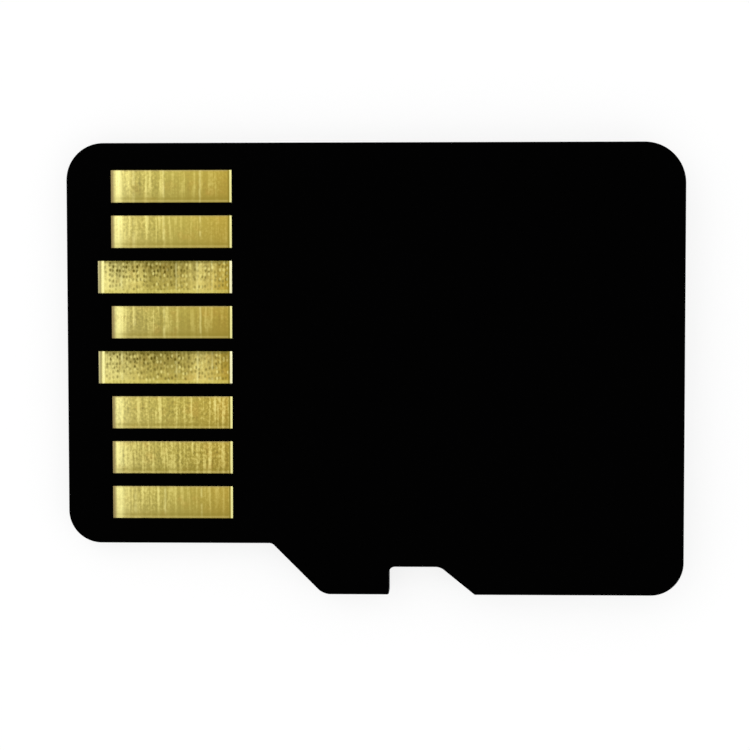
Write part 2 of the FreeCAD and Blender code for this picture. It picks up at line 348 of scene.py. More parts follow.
def complete(piece: bpy.types.Object, material: bpy.types.Material, node: str) -> None:
    """Brings a piece to metres, gives it its finish and sets it in the frame.

    Args:
        piece: The finished model, in millimetres.
        material: Its material.
        node: The CAD node that it stands for.
    """
    select_only(piece)
    bpy.ops.object.shade_smooth_by_angle(angle=SMOOTH_ANGLE)
    even = piece.modifiers.new("even_normals", "WEIGHTED_NORMAL")
    even.keep_sharp = True
    even.weight = LARGE_FACE_WEIGHT
    bpy.ops.object.modifier_apply(modifier=even.name)
    piece.scale = (MM, MM, MM)
    bpy.ops.object.transform_apply(location=True, rotation=True, scale=True)
    piece.data.materials.clear()
    piece.data.materials.append(material)
    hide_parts(node)
    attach(piece, ROOT)
    LOG.info("%s: %d faces in place of %s", piece.name, len(piece.data.polygons), node)


@dataclass(frozen=True)
class Pattern:
    """A noise pattern that is fixed to the piece.

    The frequency says how often it changes per millimetre along X, Y and Z, the detail how many finer
    octaves it has, and the roughness how strong they are.
    """

    frequency: Place
    detail: float
    roughness: float = 0.5


@dataclass(frozen=True)
class Specks:
    """Small soft specks, one to a cell and roughly in rows, that differ in strength.

    The cells are counted per millimetre. A speck's reach from its middle is a share of its cell, and its
    core, where it is at its strongest, a share of that reach. Scatter says how far the specks leave their
    rows, and rarity how few of them are strong: half of them at 1, and fewer above it.
    """

    cells: Place
    reach: float
    rarity: float
    core: float = 0.25
    scatter: float = 0.7


class NodeTree:
    """A short way to fill the node tree of a material, a world or a group.

    The three MIX numbers are the places of the colour sockets on a Mix node.
    """

    MIX_FIRST: ClassVar[int] = 6
    MIX_SECOND: ClassVar[int] = 7
    MIX_RESULT: ClassVar[int] = 2

    def __init__(self, tree: bpy.types.NodeTree) -> None:
        """Takes over a tree.

        Args:
            tree: The tree to fill.
        """
        self.tree = tree

    def add(self, kind: str, *inputs: object, **settings: object) -> bpy.types.Node:
        """Adds a node.

        Args:
            kind: The node's type, without its ShaderNode prefix.
            *inputs: What fills its first inputs, in order. None leaves one as it is.
            **settings: Its properties, by name.

        Returns:
            The new node.
        """
        node = self.tree.nodes.new(f"ShaderNode{kind}")
        for name, value in settings.items():
            setattr(node, name, value)
        for socket, value in zip(node.inputs, inputs):
            self.feed(socket, value)
        return node

    def feed(self, socket: bpy.types.NodeSocket, value: object) -> None:
        """Sets an input, or links it if the value is another node's output.

        Args:
            socket: The input to fill.
            value: A constant, a colour, an output socket, or None to leave the input.
        """
        if isinstance(value, bpy.types.NodeSocket):
            self.tree.links.new(value, socket)
        elif socket.type == "RGBA" and value is not None:
            socket.default_value = (*value, 1.0)
        elif value is not None:
            socket.default_value = value

    def math(self, operation: str, *values: object, clamp: bool = False) -> bpy.types.NodeSocket:
        """Adds a calculation.

        Args:
            operation: The Math node's operation.
            *values: Its operands, as numbers or output sockets.
            clamp: Whether the result is kept from 0 to 1.

        Returns:
            The result's socket.
        """
        return self.add("Math", *values, operation=operation, use_clamp=clamp).outputs[0]

    def step(self, value: object, start: float, end: float) -> bpy.types.NodeSocket:
        """Adds a smooth step from 0 to 1.

        Args:
            value: The number that is tested.
            start: Where the step is still 0.
            end: Where it has reached 1. It may be below start.

        Returns:
            The step's socket.
        """
        low, high = (0.0, 1.0) if start < end else (1.0, 0.0)
        span = (min(start, end), max(start, end), low, high)
        return self.add("MapRange", value, *span, interpolation_type="SMOOTHSTEP").outputs[0]

    def band(self, value: object, start: float, end: float, soft: float) -> bpy.types.NodeSocket:
        """Adds a band that is 1 between two numbers.

        Args:
            value: The number that is tested.
            start: Where the band starts.
            end: Where it ends.
            soft: How wide its soft edges are.

        Returns:
            The band's socket.
        """
        rise = self.step(value, start - soft, start)
        return self.math("MULTIPLY", rise, self.step(value, end + soft, end))

    def mix(self, share: object, first: object, second: object) -> bpy.types.NodeSocket:
        """Mixes two colours.

        Args:
            share: How much of the second colour is used.
            first: The first colour.
            second: The second colour.

        Returns:
            The mixed colour's socket.
        """
        node = self.add("Mix", share, data_type="RGBA")
        self.feed(node.inputs[self.MIX_FIRST], first)
        self.feed(node.inputs[self.MIX_SECOND], second)
        return node.outputs[self.MIX_RESULT]

    def shade(self, colour: object, level: object) -> bpy.types.NodeSocket:
        """Makes a colour lighter or darker.

        Args:
            colour: The colour.
            level: What it is multiplied by.

        Returns:
            The new colour's socket.
        """
        node = self.add("VectorMath", colour, operation="SCALE")
        self.feed(node.inputs["Scale"], level)
        return node.outputs[0]

    def grid(self, frequency: Place) -> bpy.types.NodeSocket:
        """Adds coordinates that are fixed to the piece.

        Args:
            frequency: How many units there are to a millimetre along X, Y and Z.

        Returns:
            The coordinates' socket.
        """
        place = self.add("TexCoord").outputs["Object"]
        scale = tuple(number / MM for number in frequency)
        return self.add("Mapping", place, None, None, scale).outputs[0]

    def specks(self, specks: Specks) -> bpy.types.NodeSocket:
        """Adds small soft specks.

        Args:
            specks: How they lie, and how large and strong they are.

        Returns:
            The specks' value, from 0 to 1.
        """
        cells = self.add("TexVoronoi", self.grid(specks.cells), voronoi_dimensions="2D")
        cells.inputs["Scale"].default_value = 1.0
        cells.inputs["Randomness"].default_value = specks.scatter
        lot = self.add("SeparateXYZ", cells.outputs["Color"]).outputs[0]
        strength = self.math("POWER", lot, specks.rarity)
        core = specks.reach * specks.core
        dots = self.step(cells.outputs["Distance"], specks.reach, core)
        return self.math("MULTIPLY", dots, strength)

    def noise(self, pattern: Pattern) -> bpy.types.NodeSocket:
        """Adds a noise pattern.

        Args:
            pattern: How fine and rough it is.

        Returns:
            The noise's value, about 0 and mostly within 0.3 of it.
        """
        node = self.add("TexNoise", self.grid(pattern.frequency))
        node.inputs["Scale"].default_value = 1.0
        node.inputs["Detail"].default_value = pattern.detail
        node.inputs["Roughness"].default_value = pattern.roughness
        return self.math("SUBTRACT", node.outputs[0], NOISE_MIDDLE)


class EffectGroup:
    """A shader group of plain numbers that several finishes share."""

    def __init__(self, name: str, inputs: dict[str, float], outputs: tuple[str, ...]) -> None:
        """Starts the group.

        Args:
            name: The group's name.
            inputs: Its inputs and their defaults.
            outputs: Its outputs.
        """
        self.group = bpy.data.node_groups.new(name, "ShaderNodeTree")
        sockets = self.group.interface
        for label, default in inputs.items():
            sockets.new_socket(label, in_out="INPUT", socket_type="NodeSocketFloat").default_value = default
        for label in outputs:
            sockets.new_socket(label, in_out="OUTPUT", socket_type="NodeSocketFloat")
        self.given = self.group.nodes.new("NodeGroupInput").outputs
        self.result = self.group.nodes.new("NodeGroupOutput").inputs
        self.tree = NodeTree(self.group)

    def put(self, label: str, value: bpy.types.NodeSocket) -> None:
        """Gives one of the group's outputs its value."""
        self.tree.feed(self.result[label], value)

    def use(self, tree: NodeTree, **values: float) -> bpy.types.NodeOutputs:
        """Places the group in a material.

        Args:
            tree: The material's tree.
            **values: Values for its inputs, with spaces written as underscores.

        Returns:
            The group's outputs there, by name.
        """
        node = tree.add("Group", node_tree=self.group)
        for label, value in values.items():
            tree.feed(node.inputs[label.replace("_", " ")], value)
        return node.outputs


@dataclass
class Effects:
    """The shader groups of this card."""

    grain_pattern: Pattern = Pattern((14.0, 14.0, 14.0), detail=3.0, roughness=0.6)
    cloud_pattern: Pattern = Pattern((0.5, 0.5, 0.5), detail=4.0)
    mark_pattern: Pattern = Pattern((11.0, 11.0, 0.8), detail=2.0, roughness=0.6)
    upright_slope: tuple[float, float] = (0.5, 0.2)
    streak_pattern: Pattern = Pattern((12.0, 0.6, 0.0), detail=1.0)
    streak_shade: float = 0.6
    speckle_pattern: Pattern = Pattern((16.0, 13.0, 0.0), detail=2.0, roughness=0.6)
    patch_pattern: Pattern = Pattern((2.6, 2.6, 0.0), detail=3.0, roughness=0.6)
    patch_edge: tuple[float, float] = (0.0, 0.25)
    tone_range: float = 0.1
    grain: EffectGroup = field(init=False)
    sides: EffectGroup = field(init=False)
    brushing: EffectGroup = field(init=False)
    zones: EffectGroup = field(init=False)

    def __post_init__(self) -> None:
        """Builds each group once."""
        self.grain = self.build_grain()
        self.sides = self.build_sides()
        self.brushing = self.build_brushing()
        self.zones = self.build_zones()

    def build_grain(self) -> EffectGroup:
        """Builds a fine moulded or ground grain with broad faint clouds in it.

        Returns:
            The group. Its Grain and Cloud are both about 0.
        """
        effect = EffectGroup("fine_grain", {"Fineness": 1.0}, ("Grain", "Cloud"))
        grain = effect.tree.noise(self.grain_pattern)
        effect.put("Grain", effect.tree.math("MULTIPLY", grain, effect.given["Fineness"]))
        effect.put("Cloud", effect.tree.noise(self.cloud_pattern))
        return effect

    def build_sides(self) -> EffectGroup:
        """Builds the marks that cutting out leaves on upright sides.

        Returns:
            The group. Upright is 1 on an upright side and 0 on a flat one, and Marks is about 0.
        """
        effect = EffectGroup("cut_sides", {"Depth": 1.0}, ("Upright", "Marks"))
        normal = effect.tree.add("TexCoord").outputs["Normal"]
        rise = effect.tree.add("SeparateXYZ", normal).outputs[2]
        marks = effect.tree.noise(self.mark_pattern)
        slope = effect.tree.math("ABSOLUTE", rise)
        effect.put("Upright", effect.tree.step(slope, *self.upright_slope))
        effect.put("Marks", effect.tree.math("MULTIPLY", marks, effect.given["Depth"]))
        return effect

    def build_brushing(self) -> EffectGroup:
        """Builds streaks across the contacts, with a fine speckle and broad warm patches.

        Returns:
            The group. Its Streak and Speckle are both about 0, and Warmth runs from 0 to 1.
        """
        inputs = {"Streak strength": 1.0, "Speckle strength": 1.0}
        effect = EffectGroup("brushing", inputs, ("Streak", "Speckle", "Warmth"))
        tree = effect.tree
        fine = tree.noise(self.streak_pattern)
        light = tree.math("MAXIMUM", fine, 0.0)
        streak = tree.math("MULTIPLY_ADD", fine, self.streak_shade, light)
        speckle = tree.noise(self.speckle_pattern)
        warmth = tree.step(tree.noise(self.patch_pattern), *self.patch_edge)
        effect.put("Streak", tree.math("MULTIPLY", streak, effect.given["Streak strength"]))
        effect.put("Speckle", tree.math("MULTIPLY", speckle, effect.given["Speckle strength"]))
        effect.put("Warmth", warmth)
        return effect

    def build_zones(self) -> EffectGroup:
        """Builds a map of where a point lies on its contact.

        Returns:
            The group. The four From outputs are distances in millimetres from the contact's sides.
            Along runs from 0 at the front end to 1 at the back end, and Across from 0 at the notched
            side to 1 at the plain side. Tone is about 0 and differs a little from contact to contact.
        """
        inputs = {"Front": 0.0, "Back": 1.0, "First side": 0.0, "Pitch": 1.0, "Width": 1.0}
        distances = ("From front", "From back", "From notched", "From plain")
        effect = EffectGroup("contact_zones", inputs, ("Along", "Across", *distances, "Tone"))
        tree, given = effect.tree, effect.given
        split = tree.add("SeparateXYZ", tree.add("TexCoord").outputs["Object"])
        x, y = (tree.math("DIVIDE", split.outputs[axis], MM) for axis in (0, 1))
        from_front = tree.math("SUBTRACT", x, given["Front"])
        length = tree.math("SUBTRACT", given["Back"], given["Front"])
        row = tree.math("DIVIDE", tree.math("SUBTRACT", y, given["First side"]), given["Pitch"])
        within = tree.math("MULTIPLY", tree.math("FRACT", row), given["Pitch"])
        effect.put("Along", tree.math("DIVIDE", from_front, length))
        effect.put("Across", tree.math("DIVIDE", within, given["Width"]))
        effect.put("From front", from_front)
        effect.put("From back", tree.math("SUBTRACT", given["Back"], x))
        effect.put("From notched", within)
        effect.put("From plain", tree.math("SUBTRACT", given["Width"], within))
        lot = tree.add("TexWhiteNoise", noise_dimensions="1D")
        tree.feed(lot.inputs["W"], tree.math("FLOOR", row))
        tone = tree.math("SUBTRACT", lot.outputs[0], NOISE_MIDDLE)
        effect.put("Tone", tree.math("MULTIPLY", tone, self.tone_range))
        return effect


class Surface:
    """A material with one surface shader."""

    RELIEF_STRENGTH: ClassVar[float] = 0.6

    def __init__(self, name: str) -> None:
        """Starts the material.

        Args:
            name: Its name.
        """
        self.material = bpy.data.materials.new(name)
        self.material.use_nodes = True
        self.material.node_tree.nodes.clear()
        self.tree = NodeTree(self.material.node_tree)
        self.shader = self.tree.add("BsdfPrincipled")
        self.tree.add("OutputMaterial", self.shader.outputs[0])

    def set(self, socket: str, value: object) -> None:
        """Sets one of the shader's inputs, or links it.

        Args:
            socket: The input's name.
            value: A constant or an output socket.
        """
        self.tree.feed(self.shader.inputs[socket], value)

    def relief(self, height: bpy.types.NodeSocket, depth: float) -> None:
        """Gives the surface a fine relief.

        Args:
            height: The relief's height, about 0.
            depth: How deep it is, in millimetres.
        """
        bump = self.tree.add("Bump")
        bump.inputs["Strength"].default_value = self.RELIEF_STRENGTH
        bump.inputs["Distance"].default_value = depth * MM
        self.tree.feed(bump.inputs["Height"], height)
        self.set("Normal", bump.outputs[0])


@dataclass(frozen=True)
class GrainFinish:
    """A plain grained surface with cut sides: moulding compound, board mask or silicon.

    The depth is that of its relief, in millimetres, and the marks on its sides are deeper than the grain.
    """

    name: str
    dark: Colour
    light: Colour
    side: Colour
    roughness: float
    specular: float
    depth: float
    uneven: float = 0.1
    metallic: float = 0.0
    mark_depth: float = 1.4
    mottle: tuple[float, float] = (-0.25, 0.25)
    side_roughening: float = 0.12

    def material(self, effects: Effects) -> bpy.types.Material:
        """Builds the material.

        Args:
            effects: The shared groups.

        Returns:
            The new material.
        """
        surface = Surface(self.name)
        tree = surface.tree
        grain = effects.grain.use(tree, Fineness=1.0)
        sides = effects.sides.use(tree, Depth=self.mark_depth)
        upright, cloud = sides["Upright"], grain["Cloud"]
        mottle = tree.step(tree.math("ADD", cloud, grain["Grain"]), *self.mottle)
        flat = tree.mix(mottle, linear(*self.dark), linear(*self.light))
        surface.set("Base Color", tree.mix(upright, flat, linear(*self.side)))
        rough = tree.math("MULTIPLY_ADD", cloud, self.uneven, self.roughness)
        surface.set("Roughness", tree.math("MULTIPLY_ADD", upright, self.side_roughening, rough))
        surface.set("Metallic", self.metallic)
        surface.set("Specular IOR Level", self.specular)
        marks = tree.math("MULTIPLY", upright, sides["Marks"])
        surface.relief(tree.math("ADD", grain["Grain"], marks), self.depth)
        return surface.material


MATT_MOULDING = GrainFinish(
    "matt_moulding",
    dark=(15, 15, 16),
    light=(28, 28, 29),
    side=(16, 16, 17),
    roughness=0.55,
    specular=0.25,
    depth=0.02,
    uneven=0.2,
)
BLACK_MASK = GrainFinish(
    "black_mask",
    dark=(0.3, 0.3, 0.3),
    light=(0.6, 0.6, 0.7),
    side=(9, 9, 9),
    roughness=0.45,
    specular=0.006,
    depth=0.003,
)
GROUND_SILICON = GrainFinish(
    "ground_silicon",
    dark=(72, 74, 82),
    light=(90, 92, 101),
    side=(52, 54, 62),
    roughness=0.3,
    specular=0.5,
    depth=0.002,
    metallic=0.6,
)


@dataclass(frozen=True)
class Stripe:
    """A soft stripe along one side of a contact, in millimetres from that side."""

    OUTSIDE: ClassVar[float] = -1.0

    start: float
    end: float
    soft: float
    share: float
    colour: Colour

    @classmethod
    def rim(cls, end: float, soft: float, share: float, colour: Colour) -> "Stripe":
        """Makes a stripe that starts at the side itself.

        Args:
            end: Where it ends.
            soft: How wide its soft edge is.
            share: How much of its colour it takes.
            colour: Its colour.

        Returns:
            The stripe.
        """
        return cls(cls.OUTSIDE, end, soft, share, colour)

    def paint(
        self,
        tree: NodeTree,
        distance: bpy.types.NodeSocket,
        colour: bpy.types.NodeSocket,
        extent: object = 1.0,
    ) -> bpy.types.NodeSocket:
        """Paints the stripe over a colour.

        Args:
            tree: The material's tree.
            distance: The distance from the stripe's side of the contact.
            colour: The colour under it.
            extent: Where there is paint at all, from 0 to 1.

        Returns:
            The painted colour's socket.
        """
        stripe = tree.band(distance, self.start, self.end, self.soft)
        share = tree.math("MULTIPLY", tree.math("MULTIPLY", stripe, self.share), extent)
        return tree.mix(share, colour, linear(*self.colour))


@dataclass(frozen=True)
class GoldFinish:
    """Gold plating on a signal contact, brushed across it and paler towards the insertion end.

    The first five sizes are the contact's own, in millimetres, and the stops give colours at distances
    from its front end: the plating's colour, where part of the paleness towards the front is a painted
    highlight. Tilt is its brightness at the notched side and the gain from there to the plain side. The
    brushing is calm in a zone along the contact, and thins out in a zone across it, towards the notched
    side. The glint is a painted highlight on the light streaks. The stripes follow its four sides and are
    painted shade and painted highlights on its rolled rims, and the highlight stripes are painted
    highlight lines across it, broken and wandering.
    """

    name: str
    front: float
    back: float
    first_side: float
    pitch: float
    width: float
    stops: tuple[tuple[float, Colour], ...] = (
        (0.0, (240, 231, 150)),
        (0.21, (236, 227, 145)),
        (0.3, (214, 202, 120)),
        (0.5, (192, 178, 96)),
        (1.1, (184, 170, 85)),
        (1.8, (178, 162, 75)),
        (2.8, (176, 153, 63)),
    )
    tilt: tuple[float, float] = (0.77, 0.26)
    streaks: float = 1.9
    calm: float = 0.6
    calm_zone: tuple[float, float] = (0.3, 0.6)
    thinning: float = 0.65
    thinning_zone: tuple[float, float] = (0.55, 0.1)
    speckle: float = 1.4
    contrast: float = 0.7
    # The painted highlight on the light streaks: its share and its colour.
    glint: float = 0.8
    glint_colour: Colour = HIGHLIGHT_GOLD
    warmth: float = 0.3
    warm: Colour = (196, 156, 72)
    roughness: float = 0.38
    polish: float = 0.25
    depth: float = 0.004
    # Painted shade towards the notched side and a painted shadow line, with a painted highlight on the rim.
    notched_stripes: tuple[Stripe, ...] = (
        Stripe.rim(0.11, 0.14, 0.2, SHADED_GOLD),
        Stripe(0.09, 0.115, 0.03, 0.25, SHADED_GOLD),
        Stripe(0.03, 0.055, 0.02, 0.3, (206, 190, 116)),
    )
    # Painted shade on the rim of the plain side.
    plain_stripes: tuple[Stripe, ...] = (Stripe.rim(0.012, 0.044, 0.7, (150, 135, 88)),)
    # A painted highlight just behind the front end, and painted shade on the front rim.
    front_stripes: tuple[Stripe, ...] = (
        Stripe(0.13, 0.19, 0.13, 0.32, (246, 238, 154)),
        Stripe.rim(0.035, 0.095, 1.0, SHADOWED_RIM_GOLD),
    )
    # A painted shadow line inside the back rim, and a painted highlight on the rim.
    back_stripes: tuple[Stripe, ...] = (
        Stripe(0.072, 0.092, 0.015, 0.9, SHADED_GOLD),
        Stripe.rim(0.046, 0.016, 1.0, (232, 226, 152)),
    )
    # Painted highlight lines across the contact, broken and wandering.
    highlight_stripes: tuple[Stripe, ...] = (
        Stripe(0.55, 0.57, 0.05, 0.4, HIGHLIGHT_GOLD),
        Stripe(1.29, 1.29, 0.045, 0.5, HIGHLIGHT_GOLD),
        Stripe(2.18, 2.18, 0.04, 0.4, HIGHLIGHT_GOLD),
    )
    highlight_grain: Pattern = Pattern((2.0, 4.0, 0.0), detail=2.0)
    highlight_gaps: tuple[float, float] = (-0.18, 0.12)
    highlight_wander: float = 0.05

    def material(self, effects: Effects) -> bpy.types.Material:
        """Builds the material.

        Args:
            effects: The shared groups.

        Returns:
            The new material.
        """
        surface = Surface(self.name)
        tree = surface.tree
        ends = {"Front": self.front, "Back": self.back, "First_side": self.first_side}
        zones = effects.zones.use(tree, **ends, Pitch=self.pitch, Width=self.width)
        strengths = {"Streak_strength": self.streaks, "Speckle_strength": self.speckle}
        brushing = effects.brushing.use(tree, **strengths)
        calm = tree.step(zones["Along"], *self.calm_zone)
        thin = tree.step(zones["Across"], *self.thinning_zone)
        fade = tree.math("MULTIPLY_ADD", calm, -self.calm, 1.0)
        fade = tree.math("MULTIPLY", fade, tree.math("MULTIPLY_ADD", thin, -self.thinning, 1.0))
        texture = tree.math("MULTIPLY", tree.math("ADD", brushing["Streak"], brushing["Speckle"]), fade)
        lean = tree.math("MULTIPLY_ADD", zones["Across"], self.tilt[1], self.tilt[0])
        lean = tree.math("ADD", lean, zones["Tone"])
        level = tree.math("MULTIPLY_ADD", texture, self.contrast, lean)
        warmth = tree.math("MULTIPLY", brushing["Warmth"], self.warmth)
        colour = tree.mix(warmth, self.plating(tree, zones["From front"]), linear(*self.warm))
        # Painted highlight: the light streaks are mixed towards a pale highlight colour.
        glint = tree.math("MULTIPLY", tree.math("MAXIMUM", texture, 0.0), self.glint, clamp=True)
        colour = tree.mix(glint, tree.shade(colour, level), linear(*self.glint_colour))
        colour = self.weathered(tree, colour, zones)
        surface.set("Base Color", self.striped(tree, colour, zones))
        surface.set("Metallic", 1.0)
        surface.set("Roughness", tree.math("MULTIPLY_ADD", texture, -self.polish, self.roughness))
        surface.relief(texture, self.depth)
        return surface.material

    def plating(self, tree: NodeTree, distance: bpy.types.NodeSocket) -> bpy.types.NodeSocket:
        """Colours the plating along the contact; part of its paleness towards the front end is a painted
        highlight.

        Args:
            tree: The material's tree.
            distance: The distance from the contact's front end.

        Returns:
            The colour's socket.
        """
        length = self.back - self.front
        ramp = tree.add("ValToRGB", tree.math("DIVIDE", distance, length))
        elements = ramp.color_ramp.elements
        for index, (place, colour) in enumerate(self.stops):
            element = elements[index] if index < len(elements) else elements.new(1.0)
            element.position = place / length
            element.color = (*linear(*colour), 1.0)
        return ramp.outputs[0]

    def weathered(
        self, tree: NodeTree, colour: bpy.types.NodeSocket, zones: bpy.types.NodeOutputs
    ) -> bpy.types.NodeSocket:
        """Leaves the plating of a signal contact clean."""
        return colour

    def striped(
        self, tree: NodeTree, colour: bpy.types.NodeSocket, zones: bpy.types.NodeOutputs
    ) -> bpy.types.NodeSocket:
        """Paints broken lines of painted highlight across the contact, and the painted shade and painted
        highlights along its rolled rims.

        Args:
            tree: The material's tree.
            colour: The brushed plating's colour.
            zones: Where a point lies on its contact.

        Returns:
            The colour's socket.
        """
        # Broken, wandering lines of painted highlight across the contact.
        ragged = tree.noise(self.highlight_grain)
        path = tree.math("MULTIPLY_ADD", ragged, self.highlight_wander, zones["From front"])
        extent = tree.step(ragged, *self.highlight_gaps)
        for stripe in self.highlight_stripes:
            colour = stripe.paint(tree, path, colour, extent)
        # Painted shade and painted highlights along the four rolled rims.
        sides = {
            "From notched": self.notched_stripes,
            "From plain": self.plain_stripes,
            "From front": self.front_stripes,
            "From back": self.back_stripes,
        }
        for side, stripes in sides.items():
            for stripe in stripes:
                colour = stripe.paint(tree, zones[side], colour)
        return colour


@dataclass(frozen=True)
class BrushedGoldFinish(GoldFinish):
    """Gold plating on a signal contact that is brushed all along."""

    tilt: tuple[float, float] = (0.82, 0.22)
    calm: float = 0.0
    thinning: float = 0.35
    speckle: float = 1.8
    # Painted shade on the front rim.
    front_stripes: tuple[Stripe, ...] = (Stripe.rim(0.035, 0.095, 1.0, SHADOWED_RIM_GOLD),)
    highlight_stripes: tuple[Stripe, ...] = ()


@dataclass(frozen=True)
class SupplyGoldFinish(GoldFinish):
    """Gold plating on a supply contact, which is worn and mottled along its plain side.

    The tarnish is a cloud with soft edges in a zone along the contact and one across it. Dark pits and
    light specks lie all over it, and the pits are darker in the cloud. The light specks are partly real
    bright spots and partly painted glints. The stripes along its sides are painted shade and painted
    highlights on its rolled rims, and its highlight stripes are painted highlight lines across it.
    """

    stops: tuple[tuple[float, Colour], ...] = (
        (0.0, (218, 207, 128)),
        (0.45, (208, 197, 117)),
        (0.95, (190, 175, 93)),
        (1.3, (168, 154, 74)),
        (2.1, (172, 156, 75)),
        (2.5, (204, 188, 104)),
        (3.1, (170, 146, 55)),
    )
    tilt: tuple[float, float] = (1.1, -0.38)
    streaks: float = 1.6
    calm: float = 0.2
    speckle: float = 1.1
    # A weaker painted highlight on the light streaks.
    glint: float = 0.4
    glint_colour: Colour = (238, 228, 140)
    # A painted highlight on the rim of the notched side.
    notched_stripes: tuple[Stripe, ...] = (Stripe.rim(0.07, 0.04, 0.5, (208, 197, 100)),)
    # Painted shade on the rim of the plain side.
    plain_stripes: tuple[Stripe, ...] = (Stripe.rim(0.02, 0.08, 0.7, (108, 100, 44)),)
    # Painted shade on the front rim, a painted highlight line inside it and a faint painted highlight on
    # the rim's edge.
    front_stripes: tuple[Stripe, ...] = (
        Stripe.rim(0.06, 0.05, 1.0, (162, 152, 100)),
        Stripe(0.11, 0.14, 0.03, 1.0, PALE_GOLD),
        Stripe.rim(0.03, 0.02, 0.2, EDGE_GOLD),
    )
    # A painted shadow line inside the back rim, and a painted highlight on the rim.
    back_stripes: tuple[Stripe, ...] = (
        Stripe(0.078, 0.098, 0.015, 0.9, SHADED_GOLD),
        Stripe.rim(0.052, 0.016, 1.0, EDGE_GOLD),
    )
    # Painted highlight lines across the contact.
    highlight_stripes: tuple[Stripe, ...] = (
        Stripe(0.58, 0.58, 0.045, 0.55, PALE_GOLD),
        Stripe(1.92, 1.92, 0.04, 0.35, PALE_GOLD),
        Stripe(2.43, 2.43, 0.045, 0.5, PALE_GOLD),
        Stripe(2.79, 2.79, 0.04, 0.4, PALE_GOLD),
    )
    tarnish: Colour = (98, 86, 24)
    tarnish_along: tuple[float, float, float] = (0.22, 0.55, 0.22)
    tarnish_across: tuple[float, float] = (0.3, 0.95)
    tarnish_share: float = 0.34
    pits: Specks = Specks((12.0, 8.5, 0.0), reach=0.52, rarity=0.7)
    pit_share: float = 0.68
    # Light specks, partly real bright spots and partly painted glints.
    fleck_and_glint_colour: Colour = (242, 232, 144)
    flecks_and_glints: Specks = Specks((11.0, 7.5, 0.0), reach=0.45, rarity=2.0)
    fleck_and_glint_share: float = 0.6

    def weathered(
        self, tree: NodeTree, colour: bpy.types.NodeSocket, zones: bpy.types.NodeOutputs
    ) -> bpy.types.NodeSocket:
        """Adds a dark cloud along the plain side, and dark and light specks.

        Args:
            tree: The material's tree.
            colour: The brushed plating's colour.
            zones: Where a point lies on its contact.

        Returns:
            The colour's socket.
        """
        middle = tree.band(zones["Along"], *self.tarnish_along)
        cloud = tree.math("MULTIPLY", tree.step(zones["Across"], *self.tarnish_across), middle)
        cloud = tree.math("MULTIPLY", cloud, self.tarnish_share)
        strength = tree.math("ADD", cloud, self.pit_share)
        share = tree.math("MULTIPLY_ADD", tree.specks(self.pits), strength, cloud, clamp=True)
        colour = tree.mix(share, colour, linear(*self.tarnish))
        # Light specks, partly real bright spots and partly painted glints.
        share = tree.math("MULTIPLY", tree.specks(self.flecks_and_glints), self.fleck_and_glint_share)
        return tree.mix(share, colour, linear(*self.fleck_and_glint_colour))


@dataclass(frozen=True)
class CapacitorFinish:
    """Brown fired ceramic between two tinned end caps."""

    name: str
    middle: float
    half_bare: float
    ceramic: Colour = (112, 84, 60)
    tin: Colour = (196, 198, 200)
    ceramic_roughness: float = 0.5
    tin_polish: float = 0.15

    def material(self, effects: Effects) -> bpy.types.Material:
        """Builds the material.

        Args:
            effects: The shared groups.

        Returns:
            The new material.
        """
        surface = Surface(self.name)
        tree = surface.tree
        split = tree.add("SeparateXYZ", tree.add("TexCoord").outputs["Object"])
        x = tree.math("DIVIDE", split.outputs[0], MM)
        reach = tree.math("ABSOLUTE", tree.math("SUBTRACT", x, self.middle))
        cap = tree.math("GREATER_THAN", reach, self.half_bare)
        grain = effects.grain.use(tree, Fineness=1.0)["Grain"]
        colour = tree.mix(cap, linear(*self.ceramic), linear(*self.tin))
        surface.set("Base Color", tree.shade(colour, tree.math("ADD", grain, 1.0)))
        surface.set("Metallic", cap)
        roughness = tree.math("MULTIPLY_ADD", cap, -self.tin_polish, self.ceramic_roughness)
        surface.set("Roughness", roughness)
        return surface.material


@dataclass(frozen=True)
class WireFinish:
    """Bright drawn gold wire."""

    name: str
    gold: Colour = (226, 196, 110)
    roughness: float = 0.25
    grain: float = 0.6

    def material(self, effects: Effects) -> bpy.types.Material:
        """Builds the material.

        Args:
            effects: The shared groups.

        Returns:
            The new material.
        """
        surface = Surface(self.name)
        tree = surface.tree
        grain = effects.grain.use(tree, Fineness=self.grain)["Grain"]
        surface.set("Base Color", tree.shade(linear(*self.gold), tree.math("ADD", grain, 1.0)))
        surface.set("Metallic", 1.0)
        surface.set("Roughness", tree.math("ADD", grain, self.roughness))
        return surface.material


@dataclass(frozen=True)
class Corner:
    """A corner of the card's outline in plan, with its radius."""

    x: float
    y: float
    radius: float

    def place(self) -> Vector:
        """The corner's place in plan."""
        return Vector((self.x, self.y))


